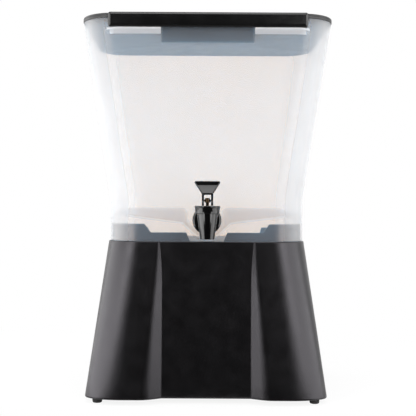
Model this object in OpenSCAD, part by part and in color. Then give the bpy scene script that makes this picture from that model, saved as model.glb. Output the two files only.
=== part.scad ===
// Countertop beverage dispenser: a translucent tank with a lift-off lid and a push tap, on a hollow base.
// Millimetres, +Z up, +X to the right, the front faces -Y. The origin is under the middle of the object.

/* [Tank] */
// Outer width of the tank at its rim
tank_w = 382; // [360:1:420]
// Outer depth of the tank at its rim
tank_d = 286; // [272:1:320]
// Corner radius at the rim
tank_r = 50; // [42:1:60]
// Outer width of the straight skirt
waist_w = 300; // [285:1:320]
// Outer depth of the straight skirt
waist_d = 254; // [244:1:264]
// Corner radius of the skirt
waist_r = 50; // [42:1:54]
// Height of the tank, from the skirt's edge to the rim
tank_h = 335; // [315:1:380]
// Height of the straight part of the skirt
skirt_h = 55; // [54:1:62]
// Height over which the skirt bends into the flared wall
bend_h = 20; // [10:1:30]
// Wall thickness of the tank
tank_wall = 3.2; // [2.6:0.1:3.8]
// Height of the floor's rear edge above the skirt's edge
floor_rear_h = 51.5; // [49:0.5:53]
// Height of the floor's middle crease above the skirt's edge
floor_mid_h = 46; // [43:0.5:48]
// Height of the floor's front corners above the skirt's edge
floor_front_h = 43; // [40:0.5:46]
// Height of the floor's front edge beside the drain channel
floor_drain_h = 30; // [28:0.5:34]
// Inner radius of the drain channel
channel_r = 31; // [28:0.5:33]
// Height of the channel's bottom above the skirt's edge at the front
channel_front_h = 6.5; // [5.5:0.5:9]
// Height of the channel's bottom above the skirt's edge at the rear
channel_rear_h = 10.5; // [9:0.5:13]
// How far the two front ledges stand out of the wall
ledge_out = 7; // [4:0.5:9]
// Thickness of a ledge at its front
ledge_t = 2.4; // [1.5:0.1:4]
// Drop of a ledge's sloped underside
ledge_drop = 6.5; // [4:0.5:10]

/* [Base] */
// Height of the base shell
base_h = 237; // [210:1:270]
// Width of the base at the bottom
base_w = 369; // [350:1:410]
// Depth of the base at the bottom
base_d = 288; // [276:1:310]
// Radius of the base's rear corners at the bottom
base_r = 38; // [36:1:40]
// Width of the curve round each front corner at the bottom
lobe_w = 58; // [50:1:66]
// Depth of the curve round each front corner at the bottom
lobe_d = 28; // [24:1:36]
// Wall thickness of the base
base_wall = 4; // [3.4:0.1:5]
// Thickness of the deck that carries the tank
deck_t = 4; // [3:0.5:6]
// Width of the deck left free around the skirt
deck_lip = 2; // [1.5:0.5:6]
// Width of the front recess between its creases
recess_w = 134; // [110:1:150]
// Depth of the front recess at the bottom
recess_d = 14; // [8:0.5:18]
// Width of each flank of the recess at the bottom
flank_w = 30; // [20:1:36]
// Rounding of the base's bottom edge
base_edge = 3.5; // [2.5:0.5:5]
// Height of the rib behind the skirt's front
rib_h = 13.5; // [8:0.5:16]
// Height of the posts in the skirt's front corners
post_h = 26.5; // [20:0.5:30]
// Height of the posts in the skirt's rear corners
rear_post_h = 16; // [10:0.5:20]
// Distance of the posts' tops from the middle
post_x = 95; // [80:1:105]
// Thickness of the rib and the posts
rib_t = 4; // [3:0.5:5]
// Clearance between the skirt and the rib and posts
rib_gap = 0.6; // [0.4:0.1:1]

/* [Feet] */
// Height of a rubber foot
foot_h = 8; // [6:0.5:12]
// Radius of a rubber foot
foot_r = 7.5; // [6.5:0.5:9]
// Distance of a foot's axis from the base's side
foot_in_x = 19.5; // [19:0.5:24]
// Distance of a foot's axis from the base's front or rear
foot_in_y = 25; // [24:0.5:28]
// Radius of a foot screw's shank
foot_screw_r = 1.9; // [1.5:0.1:2.2]

/* [Lid] */
// How far the lid's edge stands out over the rim
lid_over = 0.8; // [0.4:0.1:2]
// Height of the lid's edge above the rim
lid_t = 7; // [6:0.5:9]
// Depth of the lid's plug inside the tank
plug_h = 8; // [6:0.5:12]
// Clearance between the plug and the tank
plug_gap = 0.6; // [0.4:0.1:1.2]
// Thickness of the lid's plate
plate_t = 3; // [2.5:0.5:4]
// Width of the lid's rim around its tray
lid_rim = 14; // [12:0.5:18]
// Width of the finger pocket's body
pocket_w = 141; // [120:1:160]
// Depth of the finger pocket's body below the plug
pocket_h = 28; // [22:1:34]
// Front to rear size of the finger pocket's body
pocket_d = 26; // [24:1:32]
// Width of the grip bar
bar_w = 298; // [270:1:310]
// Height of the grip bar
bar_h = 22; // [18:0.5:26]
// Thickness of the grip bar
bar_t = 8; // [7:0.5:12]
// Bevel of the grip bar's edges
bar_bevel = 2.8; // [1.5:0.1:3]
// Radius of a grip screw's shank
grip_screw_r = 1.2; // [1:0.1:1.4]

/* [Tap] */
// Height of the tap's shank above the skirt's edge
tap_h = 32.5; // [31:0.5:33]
// Distance from the tank's front to the tap's barrel axis
tap_reach = 38; // [34:0.5:46]
// Radius of the barrel at its shoulder
barrel_r = 15; // [14.6:0.1:16]
// Radius of the nozzle's outlet end
nozzle_r = 10.5; // [9:0.1:11.5]
// Distance of the nozzle's end below the shank's axis
nozzle_drop = 27.5; // [25:0.5:29]
// Distance of the barrel's shoulder above the shank's axis
shoulder_h = 10; // [10:0.5:12]
// Radius of the valve chamber
chamber_r = 9.5; // [9:0.1:10]
// Radius of the outlet
outlet_r = 6.5; // [5.5:0.1:6.8]
// Radius of the shank
shank_r = 9.8; // [9:0.1:9.9]
// Radius of the flange
flange_r = 21.8; // [18:0.2:22.6]
// Thickness of the flange
flange_t = 4.5; // [3:0.5:6]
// Thickness of a gasket
gasket_t = 2.5; // [1.5:0.5:3.5]
// Thickness of the nut
nut_t = 10; // [8:0.5:12]
// Radius of the nut over its corners
nut_r = 18; // [16:0.5:20]
// Height of the bonnet
bonnet_h = 11.5; // [10:0.5:13]
// Radius of the bonnet at its top
bonnet_r = 19; // [18.4:0.1:20]
// Radius of the stem
stem_r = 2.25; // [2:0.05:2.5]
// Radius of the stem's head
stem_head_r = 3.65; // [3.4:0.05:4]
// Radius of the handle's pin
pin_r = 1.6; // [1.3:0.05:1.8]
// Lift of the valve at the handle's full tilt
valve_lift = 4; // [3:0.5:4.5]
// Full tilt of the handle in degrees
handle_tilt = 40; // [30:1:45]
// Inside width between the yoke's legs
yoke_gap = 10.2; // [8.4:0.1:11]
// Thickness of a yoke leg
leg_t = 3.2; // [2.6:0.1:3.6]
// Height of the paddle above its pin
paddle_h = 29; // [26:0.5:34]
// Width of the paddle at its top
paddle_w = 38.5; // [30:0.5:41]
// Wire radius of the return spring
wire_r = 0.55; // [0.4:0.05:0.6]
// Mean radius of the return spring's coils
coil_r = 5.2; // [4.8:0.1:5.8]
// Number of the return spring's coils
coils = 6; // [5:1:7]

/* [Hidden] */
arc_n = 10;
flank_n = 10;
bend_n = 4;
paddle_n = 8;
overlap = 1;
$fn = 64;

z_base = foot_h;
z_deck = z_base + base_h;
z_rim = z_deck + tank_h;
z_lid = z_rim + lid_t;
z_plug = z_rim - plug_h;
z_tray = z_plug + plate_t;

deck_w = waist_w + 2 * deck_lip;
deck_d = waist_d + 2 * deck_lip;
deck_r = waist_r + deck_lip;
recess_top = 0.8;
flank_top = 5;
flank_bend = 0.7;
lobe_fit = min(lobe_w, base_w / 2 - recess_w / 2 - flank_w - 2);

knee_w = 11;
knee_drop = 6.5;
open_rear = -5;
open_mid = -18;
open_front = -38;

lid_w = tank_w + 2 * lid_over;
lid_d = tank_d + 2 * lid_over;
lid_r = tank_r + lid_over;
tray_draft = 2;

z_tap = z_deck + tap_h;
tap_y = -(waist_d / 2 + tap_reach);
z_nozzle = z_tap - nozzle_drop;
z_shoulder = z_tap + shoulder_h;
neck_h = 6;
neck_r = chamber_r + 3.7;
seat_drop = 11.5;
z_seat = z_tap - seat_drop;
z_bonnet = z_shoulder + bonnet_h;
bonnet_top_t = 3;
z_spring_top = z_bonnet - bonnet_top_t;
y_flange = -waist_d / 2 - gasket_t;
y_inner = tank_wall - waist_d / 2;
y_nut = y_inner + gasket_t;
y_shank = y_nut + nut_t + 3;
thread_gap = 0.05;
bonnet_gap = 0.2;
slide_gap = 0.06;
rest_gap = 0.3;

cup_h = 13;
z_cup_top = z_seat + rest_gap + cup_h;
cup_r = chamber_r - 1.3;
knob_r = stem_r + 1.15;
knob_h = 4;
z_knob = z_seat + 4;
washer_t = 0.8;
z_spring_foot = z_cup_top + washer_t;

cam_rise = valve_lift / (handle_tilt * PI / 180);
heel = 7.3;
heel_back = 4.5;
z_pin = z_bonnet + rest_gap + heel;
bridge_z = 8.5;
head_above = 3.9;
head_below = 3;

z_bar_top = z_lid;
z_bar = z_bar_top - bar_h;
grip_screw_places = [-bar_w / 3, 0, bar_w / 3];
z_grip_screw = (z_rim + z_lid) / 2;
grip_reach = 0.62 * bar_t;
grip_seat = 0.68 * lid_rim;
grip_head_r = 1.8 * grip_screw_r;
ledge_gap = 0.5;
z_ledge = z_bar - ledge_gap;

foot_x = base_w / 2 - foot_in_x;
foot_y = base_d / 2 - foot_in_y;
foot_boss_r = foot_in_x - 2 * base_wall;
foot_boss_h = 13;
foot_head_r = 2 * foot_screw_r;
foot_head_h = 1.8;
foot_seat_h = 3;

body_y = (waist_d / 2 + tap_reach + bonnet_r - max(lid_d, base_d) / 2) / 2;

FOOT_NAMES = ["foot_front_left", "foot_front_right", "foot_rear_left", "foot_rear_right"];
FOOT_SIDES = [[-1, -1], [1, -1], [-1, 1], [1, 1]];

function lerp(a, b, t) = a + (b - a) * t;
function at_height(points, z) = [for (p = points) [p[0], p[1], z]];
function reversed(list) = [for (i = [len(list) - 1:-1:0]) list[i]];
function tail(list) = [for (i = [1:len(list) - 1]) list[i]];
function middle(points) = [for (k = [0:2]) (min([for (p = points) p[k]]) + max([for (p = points) p[k]])) / 2];
function mirrored(points) = [for (p = reversed(points)) [-p[0], p[1]]];
function oval(cx, cy, rx, ry, from, to) =
    [for (i = [0:arc_n]) let (a = lerp(from, to, i / arc_n)) [cx + rx * cos(a), cy + ry * sin(a)]];
function arc(cx, cy, r, from, to) = oval(cx, cy, r, r, from, to);

// Rounded rectangle, counterclockwise from the front right corner
function outline(w, d, r) =
    let (right = concat(arc(w / 2 - r, r - d / 2, r, -90, 0), arc(w / 2 - r, d / 2 - r, r, 0, 90)))
    concat(right, mirrored(right));

// How far the flared wall has run at a height, from none in the skirt
function flare(z) =
    let (h = z - z_deck - skirt_h)
    h <= 0 ? 0 : h < bend_h ? h * h / (2 * bend_h) : h - bend_h / 2;
function flare_share(z) = flare(z) / flare(z_rim);
function tank_half_depth(z) = lerp(waist_d, tank_d, flare_share(z)) / 2;
function tank_outline(z, inset) =
    let (t = flare_share(z))
    outline(lerp(waist_w, tank_w, t) - 2 * inset, lerp(waist_d, tank_d, t) - 2 * inset,
            lerp(waist_r, tank_r, t) - inset);
function tank_ring(z, inset) = at_height(tank_outline(z, inset), z);

// Share that falls straight from 1, and past the bend rounds off to 0
function rounded_fall(u, bend) =
    let (s = 2 / (1 + bend))
    u < bend ? 1 - s * u : s * (1 - u) * (1 - u) / (2 * (1 - bend));

// Base outline with the recess in its front, at a share of the base's height
function base_outline(t, inset) =
    let (w = lerp(base_w, deck_w, t) - 2 * inset, d = lerp(base_d, deck_d, t) - 2 * inset,
         r = lerp(base_r, deck_r, t) - inset, deep = lerp(recess_d, recess_top, t),
         rx = lerp(lobe_fit, deck_r, t) - inset, ry = lerp(lobe_d, deck_r, t) - inset,
         flank = lerp(flank_w, flank_top, t),
         flank_points = [for (i = [0:flank_n]) let (u = i / flank_n)
             [recess_w / 2 + flank * u, -d / 2 + deep * rounded_fall(u, flank_bend)]],
         right = concat(flank_points, oval(w / 2 - rx, ry - d / 2, rx, ry, -90, 0),
                        arc(w / 2 - r, d / 2 - r, r, 0, 90)))
    concat(right, mirrored(right));
function base_ring(z, inset) = at_height(base_outline((z - z_base) / base_h, inset), z);

// Closed skin through rings of equal length. Its ends are fans from the middle, or strips for long thin
// sections, or its last ring joins the first.
module skin(rings, ends = "fan") {
    n = len(rings[0]);
    m = len(rings);
    loop = ends == "joined";
    last = loop ? m - 1 : m - 2;
    top = (m - 1) * n;
    sides = [for (i = [0:last], j = [0:n - 1])
        let (a = i * n + j, b = i * n + (j + 1) % n, c = ((i + 1) % m) * n + (j + 1) % n,
             d = ((i + 1) % m) * n + j)
        each [[a, d, c], [a, c, b]]];
    fans = [for (j = [0:n - 1]) let (k = (j + 1) % n) each [[m * n, j, k], [m * n + 1, top + k, top + j]]];
    strips = [for (j = [0:n / 2 - 2]) let (k = n - 1 - j)
        each [[j, j + 1, k - 1], [j, k - 1, k], [top + k - 1, top + j + 1, top + j],
              [top + k, top + k - 1, top + j]]];
    middles = ends == "fan" ? [middle(rings[0]), middle(rings[m - 1])] : [];
    caps = ends == "fan" ? fans : ends == "strip" ? strips : [];
    polyhedron(concat([for (r = rings) each r], middles), concat(sides, caps));
}

// Prism of a Y-Z profile, centred on X
module across(w) {
    translate([-w / 2, 0, 0])
        rotate([90, 0, 90])
            linear_extrude(w)
                children();
}

// Prism of an X-Z profile from one Y to another
module along(y0, y1) {
    translate([0, y1, 0])
        rotate([90, 0, 0])
            linear_extrude(y1 - y0)
                children();
}

module at_sides() {
    children();
    mirror([1, 0, 0])
        children();
}

// Disc or cylinder on the tap's shank axis, from one Y to another
module on_shank(r, y0, y1, sides = 64) {
    translate([0, y1, z_tap])
        rotate([90, 0, 0])
            cylinder(r = r, h = y1 - y0, $fn = sides);
}

// Ribs of the deck: a band inside the skirt, cut to a front elevation
module skirt_band() {
    inset = tank_wall + rib_gap;
    translate([0, 0, z_deck - overlap])
        linear_extrude(post_h + overlap)
            difference() {
                polygon(outline(waist_w - 2 * inset, waist_d - 2 * inset, waist_r - inset));
                polygon(outline(waist_w - 2 * (inset + rib_t), waist_d - 2 * (inset + rib_t),
                                waist_r - inset - rib_t));
            }
}

module front_rib() {
    notch_gap = 7;
    post_slope = 10;
    post_d = 42;
    drop = channel_r + channel_front_h - rib_h;
    channel_half = sqrt(pow(channel_r + tank_wall, 2) - drop * drop);
    notch = channel_half + notch_gap;
    intersection() {
        skirt_band();
        translate([0, 0, z_deck])
            at_sides()
                along(-waist_d / 2, post_d - waist_d / 2)
                    polygon([[notch - rib_h * 0.45, -overlap], [notch, rib_h],
                             [post_x - post_slope, rib_h], [post_x, post_h],
                             [waist_w / 2, post_h], [waist_w / 2, -overlap]]);
    }
}

module rear_posts() {
    post_d = 42;
    intersection() {
        skirt_band();
        translate([0, 0, z_deck])
            at_sides()
                along(waist_d / 2 - post_d, waist_d / 2)
                    polygon([[post_x + 3, -overlap], [post_x + 7, rear_post_h],
                             [waist_w / 2, rear_post_h], [waist_w / 2, -overlap]]);
    }
}

module base_shell() {
    lip = 1.2;
    hole_h = foot_boss_h - 2;
    color([0.06, 0.06, 0.065])
        difference() {
            union() {
                skin([base_ring(z_deck - deck_t, base_wall),
                      base_ring(z_base, base_wall),
                      base_ring(z_base, base_edge * 0.5),
                      base_ring(z_base + base_edge * 0.35, base_edge * 0.18),
                      base_ring(z_base + base_edge, 0),
                      base_ring(z_deck - lip, 0),
                      base_ring(z_deck, lip)]);
                front_rib();
                rear_posts();
                for (s = FOOT_SIDES)
                    translate([s[0] * foot_x, s[1] * foot_y, z_base])
                        cylinder(r = foot_boss_r, h = foot_boss_h);
            }
            for (s = FOOT_SIDES)
                translate([s[0] * foot_x, s[1] * foot_y, z_base - overlap])
                    cylinder(r = foot_screw_r + thread_gap, h = hole_h + overlap);
        }
}

module foot(side) {
    edge = 1;
    color([0.09, 0.09, 0.09])
        translate([side[0] * foot_x, side[1] * foot_y, 0])
            rotate_extrude()
                polygon([[foot_head_r + 0.3, 0], [foot_r - edge, 0], [foot_r, edge],
                         [foot_r + 0.5, z_base], [foot_screw_r + 0.3, z_base],
                         [foot_screw_r + 0.3, foot_seat_h], [foot_head_r + 0.3, foot_seat_h]]);
}

module foot_screws() {
    reach = foot_boss_h - 4;
    color([0.6, 0.6, 0.62])
        for (s = FOOT_SIDES)
            translate([s[0] * foot_x, s[1] * foot_y, 0]) {
                translate([0, 0, foot_seat_h - foot_head_h])
                    cylinder(r = foot_head_r, h = foot_head_h);
                translate([0, 0, foot_seat_h - foot_head_h / 2])
                    cylinder(r = foot_screw_r, h = z_base + reach - foot_seat_h + foot_head_h / 2);
            }
}

// Section of the floor in X and Z at one station from front to rear
function floor_section(side_h, rim_h, channel_h, start) =
    let (x = (waist_w - tank_wall) / 2, t = tank_wall, mid = channel_h + channel_r,
         far = channel_r + knee_w, near = channel_r + 0.36 * knee_w, lip = channel_r - 0.3,
         top = concat([[x, side_h], [far, rim_h], [near, rim_h - 0.3 * knee_drop],
                       [lip, rim_h - knee_drop]],
                      [for (i = [0:arc_n]) let (a = lerp(start, -90, i / arc_n))
                          [channel_r * cos(a), mid + channel_r * sin(a)]]),
         under = concat([[x, side_h - t], [far + t * 0.5, rim_h - t],
                         [near + t * 0.6, rim_h - 0.3 * knee_drop - t * 0.8],
                         [lip + t * 0.9, rim_h - knee_drop - t * 0.4]],
                        [for (i = [0:arc_n]) let (a = lerp(start, -90, i / arc_n))
                            [(channel_r + t) * cos(a), mid + (channel_r + t) * sin(a)]]))
    concat(reversed(mirrored(under)), tail(reversed(under)), top, tail(mirrored(top)));

function section_at(points, y) = [for (p = points) [p[0], y, z_deck + p[1]]];

module tank_floor() {
    half = (waist_d - tank_wall) / 2;
    intersection() {
        skin([section_at(floor_section(floor_rear_h, floor_rear_h, channel_rear_h, open_rear), half),
              section_at(floor_section(floor_mid_h, floor_mid_h,
                                       (channel_front_h + channel_rear_h) / 2, open_mid), 0),
              section_at(floor_section(floor_front_h, floor_drain_h, channel_front_h, open_front), -half)],
             ends = "strip");
        translate([0, 0, z_deck])
            linear_extrude(skirt_h)
                polygon(outline(waist_w - tank_wall, waist_d - tank_wall, waist_r - tank_wall / 2));
    }
}

// Sloped ledge on the tank's front wall, on each side of the finger pocket
module front_ledges() {
    z_low = z_ledge - ledge_t - ledge_drop;
    inner = pocket_w / 2;
    outer = bar_w / 2 + 2.5;
    taper = 14;
    y_wall = -tank_half_depth(z_ledge);
    sunk = tank_wall / 2;
    at_sides()
        intersection() {
            across(2 * outer)
                polygon([[y_wall + sunk, z_ledge], [y_wall - ledge_out, z_ledge],
                         [y_wall - ledge_out, z_ledge - ledge_t],
                         [sunk - tank_half_depth(z_low), z_low]]);
            translate([0, 0, z_low - overlap])
                linear_extrude(z_ledge - z_low + 2 * overlap)
                    polygon([[inner, y_wall + tank_wall], [inner, y_wall - ledge_out - overlap],
                             [outer - taper, y_wall - ledge_out - overlap], [outer, y_wall - sunk],
                             [outer, y_wall + tank_wall]]);
        }
}

module tank() {
    bends = [for (i = [0:bend_n]) z_deck + skirt_h + bend_h * i / bend_n];
    heights = concat([z_deck], bends, [z_rim]);
    color([0.92, 0.92, 0.91, 0.55])
        difference() {
            union() {
                skin(concat([for (z = heights) tank_ring(z, 0)],
                            [for (z = reversed(heights)) tank_ring(z, tank_wall)]), ends = "joined");
                tank_floor();
                front_ledges();
            }
            on_shank(shank_r + rest_gap, -waist_d / 2 - overlap, tank_wall + overlap - waist_d / 2);
        }
}

module lid() {
    edge = 0.6;
    top_edge = 1.6;
    hole = grip_screw_r + thread_gap;
    pocket_wall = 2.5;
    plug_inset = tank_wall + plug_gap;
    plug = tank_outline(z_plug, plug_inset);
    z_pocket = z_plug - pocket_h;
    pocket_front = tank_wall + 1 - tank_half_depth(z_pocket);
    pocket_rear = pocket_front + pocket_d;
    tray_front = lid_rim + tray_draft - lid_d / 2;
    pocket_half = pocket_w / 2 - 4;
    lid_inset = function(i) outline(lid_w - 2 * i, lid_d - 2 * i, lid_r - i);
    color([0.1, 0.1, 0.105])
        difference() {
            union() {
                skin([at_height(tank_outline(z_plug, plug_inset + 1), z_plug),
                      at_height(plug, z_plug + 1),
                      at_height(plug, z_rim),
                      at_height(lid_inset(edge), z_rim),
                      at_height(lid_inset(0), z_rim + edge),
                      at_height(lid_inset(0), z_lid - top_edge),
                      at_height(lid_inset(0.3 * top_edge), z_lid - 0.3 * top_edge),
                      at_height(lid_inset(top_edge), z_lid),
                      at_height(lid_inset(lid_rim - 1), z_lid),
                      at_height(lid_inset(lid_rim), z_lid - 1),
                      at_height(lid_inset(lid_rim + tray_draft), z_tray)]);
                along(pocket_front, pocket_rear)
                    polygon([[-pocket_w / 2, z_plug + overlap], [pocket_w / 2, z_plug + overlap],
                             [pocket_w / 2 - 1.5, z_pocket], [1.5 - pocket_w / 2, z_pocket]]);
            }
            translate([-pocket_half, tray_front, z_pocket + pocket_wall])
                cube([2 * pocket_half, pocket_rear - pocket_wall - tray_front,
                      z_tray - z_pocket - pocket_wall + overlap]);
            for (x = grip_screw_places)
                translate([x, -lid_d / 2, z_grip_screw])
                    rotate([-90, 0, 0]) {
                        translate([0, 0, -overlap])
                            cylinder(r = hole, h = grip_seat + 2 * overlap);
                        translate([0, 0, grip_seat])
                            cylinder(r = grip_head_r + rest_gap, h = lid_rim + tray_draft - grip_seat);
                    }
        }
}

module lid_grip_bar() {
    back = -lid_d / 2;
    front = back - bar_t;
    half = bar_w / 2;
    color([0.04, 0.04, 0.042])
        difference() {
            intersection() {
                across(bar_w)
                    polygon([[back, z_bar + overlap], [back - overlap, z_bar],
                             [front + bar_bevel, z_bar], [front, z_bar + bar_bevel],
                             [front, z_bar_top - bar_bevel], [front + bar_bevel, z_bar_top],
                             [back, z_bar_top]]);
                translate([0, 0, z_bar - overlap])
                    linear_extrude(bar_h + 2 * overlap)
                        polygon([[-half, back + overlap], [-half, front + bar_bevel],
                                 [bar_bevel - half, front], [half - bar_bevel, front],
                                 [half, front + bar_bevel], [half, back + overlap]]);
            }
            for (x = grip_screw_places)
                translate([x, back - grip_reach - 0.5, z_grip_screw])
                    rotate([-90, 0, 0])
                        cylinder(r = grip_screw_r + thread_gap, h = grip_reach + overlap);
        }
}

module grip_screws() {
    head_t = 1.5 * grip_screw_r;
    color([0.6, 0.6, 0.62])
        for (x = grip_screw_places)
            translate([x, -lid_d / 2, z_grip_screw])
                rotate([-90, 0, 0]) {
                    translate([0, 0, -grip_reach])
                        cylinder(r = grip_screw_r, h = grip_reach + grip_seat + head_t / 2);
                    translate([0, 0, grip_seat])
                        cylinder(r = grip_head_r, h = head_t);
                }
}

module tap_body() {
    neck_z = z_shoulder + neck_h;
    flare_top = z_tap + 6;
    color([0.03, 0.03, 0.032])
        difference() {
            union() {
                translate([0, tap_y, 0])
                    rotate_extrude()
                        polygon([[0, z_nozzle], [nozzle_r, z_nozzle], [barrel_r, flare_top],
                                 [barrel_r, z_shoulder], [neck_r, z_shoulder], [neck_r, neck_z],
                                 [0, neck_z]]);
                on_shank(shank_r, tap_y, y_shank);
                on_shank(flange_r, y_flange - flange_t, y_flange);
            }
            translate([0, tap_y, z_seat])
                cylinder(r = chamber_r, h = neck_z - z_seat + overlap);
            translate([0, tap_y, z_nozzle - overlap])
                cylinder(r = outlet_r, h = z_seat - z_nozzle + 2 * overlap);
            on_shank(outlet_r, tap_y, y_shank + overlap);
        }
}

module gasket_ring(r, y0) {
    color([0.05, 0.05, 0.05])
        difference() {
            on_shank(r, y0, y0 + gasket_t);
            on_shank(shank_r + rest_gap, y0 - overlap, y0 + gasket_t + overlap);
        }
}

module outer_gasket() {
    gasket_ring(flange_r - 0.6, y_flange);
}

module inner_gasket() {
    gasket_ring(flange_r - 2, y_inner);
}

module tap_nut() {
    color([0.05, 0.05, 0.052])
        difference() {
            union() {
                on_shank(nut_r, y_nut + 2, y_nut + nut_t, sides = 6);
                on_shank(nut_r, y_nut, y_nut + 2.5);
            }
            on_shank(shank_r + thread_gap, y_nut - overlap, y_nut + nut_t + overlap);
        }
}

module tap_bonnet() {
    low_r = bonnet_r - 1.2;
    rim_h = 2.4;
    neck_top = z_shoulder + neck_h;
    color([0.03, 0.03, 0.032])
        translate([0, tap_y, 0])
            rotate_extrude()
                polygon([[neck_r + bonnet_gap, z_shoulder], [low_r, z_shoulder],
                         [bonnet_r - 0.6, z_bonnet - rim_h - 1], [bonnet_r, z_bonnet - rim_h],
                         [bonnet_r, z_bonnet - 0.8], [bonnet_r - 0.8, z_bonnet],
                         [stem_r + slide_gap, z_bonnet], [stem_r + slide_gap, z_spring_top],
                         [chamber_r, z_spring_top], [chamber_r, neck_top],
                         [neck_r + bonnet_gap, neck_top]]);
}

module tap_stem() {
    edge = 0.8;
    top = z_pin + head_above;
    color([0.42, 0.34, 0.26])
        translate([0, tap_y, 0])
            difference() {
                rotate_extrude()
                    polygon([[0, z_knob], [knob_r, z_knob], [knob_r, z_knob + knob_h],
                             [stem_r, z_knob + knob_h], [stem_r, z_pin - head_below],
                             [stem_head_r, z_pin - head_below], [stem_head_r, top - edge],
                             [stem_head_r - edge, top], [0, top]]);
                translate([-2 * stem_head_r, 0, z_pin])
                    rotate([0, 90, 0])
                        cylinder(r = pin_r + slide_gap, h = 4 * stem_head_r);
            }
}

module seat_cup() {
    foot = z_seat + rest_gap;
    lip = 1.5;
    room = 0.1;
    color([0.75, 0.75, 0.73])
        translate([0, tap_y, 0])
            difference() {
                rotate_extrude()
                    polygon([[0, foot], [cup_r - lip, foot], [cup_r, foot + lip], [cup_r, foot + 6],
                             [cup_r - 1.2, z_cup_top], [0, z_cup_top]]);
                translate([0, 0, z_knob - room])
                    cylinder(r = knob_r + room, h = knob_h + 2 * room);
                translate([0, 0, z_knob])
                    cylinder(r = stem_r + room, h = z_cup_top - z_knob + overlap);
            }
}

module spring_washer() {
    color([0.6, 0.6, 0.62])
        translate([0, tap_y, z_cup_top])
            difference() {
                cylinder(r = cup_r - 1.2, h = washer_t);
                translate([0, 0, -overlap])
                    cylinder(r = stem_r + 0.4, h = washer_t + 2 * overlap);
            }
}

module return_spring() {
    sides = 6;
    steps = 8;
    gap = 0.1;
    low = z_spring_foot + gap + wire_r;
    high = z_spring_top - gap - wire_r;
    rise = (high - low) / (2 * PI * coils);
    rings = [for (i = [0:coils * steps])
        let (a = 360 * i / steps, z = lerp(low, high, i / (coils * steps)),
             out = [cos(a), sin(a), 0],
             way = [-coil_r * sin(a), coil_r * cos(a), rise] / norm([coil_r, rise]),
             up = cross(out, way))
        [for (k = [0:sides - 1]) let (b = 360 * k / sides)
            coil_r * out + [0, 0, z] + wire_r * (cos(b) * out + sin(b) * up)]];
    color([0.62, 0.62, 0.64])
        translate([0, tap_y, 0])
            skin(reversed(rings));
}

// Side view of a yoke leg from its pin: a heel whose lift grows evenly with the tilt, and a stalk above
function heel_curve() =
    [for (i = [0:paddle_n]) let (a = (handle_tilt + 3) * i / paddle_n,
                                 reach = heel + cam_rise * a * PI / 180)
        [-reach * sin(a) - cam_rise * cos(a), cam_rise * sin(a) - reach * cos(a)]];

module yoke_leg() {
    stalk = bridge_z + 3;
    polygon(concat([[heel_back, -heel]], heel_curve(),
                   [[-8.4, -2.6], [-6.4, 0], [-5.4, 4], [-4.6, bridge_z], [-3.4, stalk],
                    [3.5, stalk], [heel_back, 2]]));
}

// Paddle with an upright foot, a middle that leans back and an upright top
module paddle() {
    lean = 9;
    lean_bend = 0.35;
    foot_h = 2.5;
    thick = 6.5;
    thin = 4.5;
    foot_half = yoke_gap / 2 + leg_t;
    corner = 2.5;
    lean_z = bridge_z + foot_h;
    leant = function(z) 1 - rounded_fall(max(z - lean_z, 0) / (paddle_h - lean_z), lean_bend);
    side = function(u, s) let (z = lerp(bridge_z, paddle_h, u))
        [lean * leant(z) - 1 + s * lerp(thick, thin, u) / 2, z];
    steps = [for (i = [0:paddle_n]) i / paddle_n];
    intersection() {
        across(2 * paddle_w)
            polygon(concat([for (u = steps) side(u, 1)], reversed([for (u = steps) side(u, -1)])));
        along(-3 * lean, 3 * lean)
            polygon([[-foot_half, bridge_z - overlap], [foot_half, bridge_z - overlap],
                     [foot_half, bridge_z + 1], [paddle_w / 2, paddle_h - corner],
                     [paddle_w / 2 - 0.3 * corner, paddle_h - 0.3 * corner],
                     [paddle_w / 2 - corner, paddle_h], [corner - paddle_w / 2, paddle_h],
                     [0.3 * corner - paddle_w / 2, paddle_h - 0.3 * corner],
                     [-paddle_w / 2, paddle_h - corner], [-foot_half, bridge_z + 1]]);
    }
}

module tap_handle() {
    reach = yoke_gap / 2 + leg_t;
    color([0.03, 0.03, 0.032])
        translate([0, tap_y, z_pin])
            difference() {
                union() {
                    at_sides()
                        translate([yoke_gap / 2 + leg_t / 2, 0, 0])
                            across(leg_t)
                                yoke_leg();
                    paddle();
                }
                translate([-reach - overlap, 0, 0])
                    rotate([0, 90, 0])
                        cylinder(r = pin_r + thread_gap, h = 2 * (reach + overlap));
            }
}

module handle_pin() {
    half = yoke_gap / 2 + leg_t - 0.3;
    color([0.55, 0.5, 0.45])
        translate([-half, tap_y, z_pin])
            rotate([0, 90, 0])
                cylinder(r = pin_r, h = 2 * half);
}

module placed() {
    translate([0, body_y, 0])
        children();
}

placed() base_shell();
for (i = [0:len(FOOT_NAMES) - 1])
    placed() foot(FOOT_SIDES[i]);
placed() foot_screws();
placed() tank();
placed() lid();
placed() lid_grip_bar();
placed() grip_screws();
placed() tap_body();
placed() outer_gasket();
placed() inner_gasket();
placed() tap_nut();
placed() tap_bonnet();
placed() tap_stem();
placed() seat_cup();
placed() spring_washer();
placed() return_spring();
placed() tap_handle();
placed() handle_pin();
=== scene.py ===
import math

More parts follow.
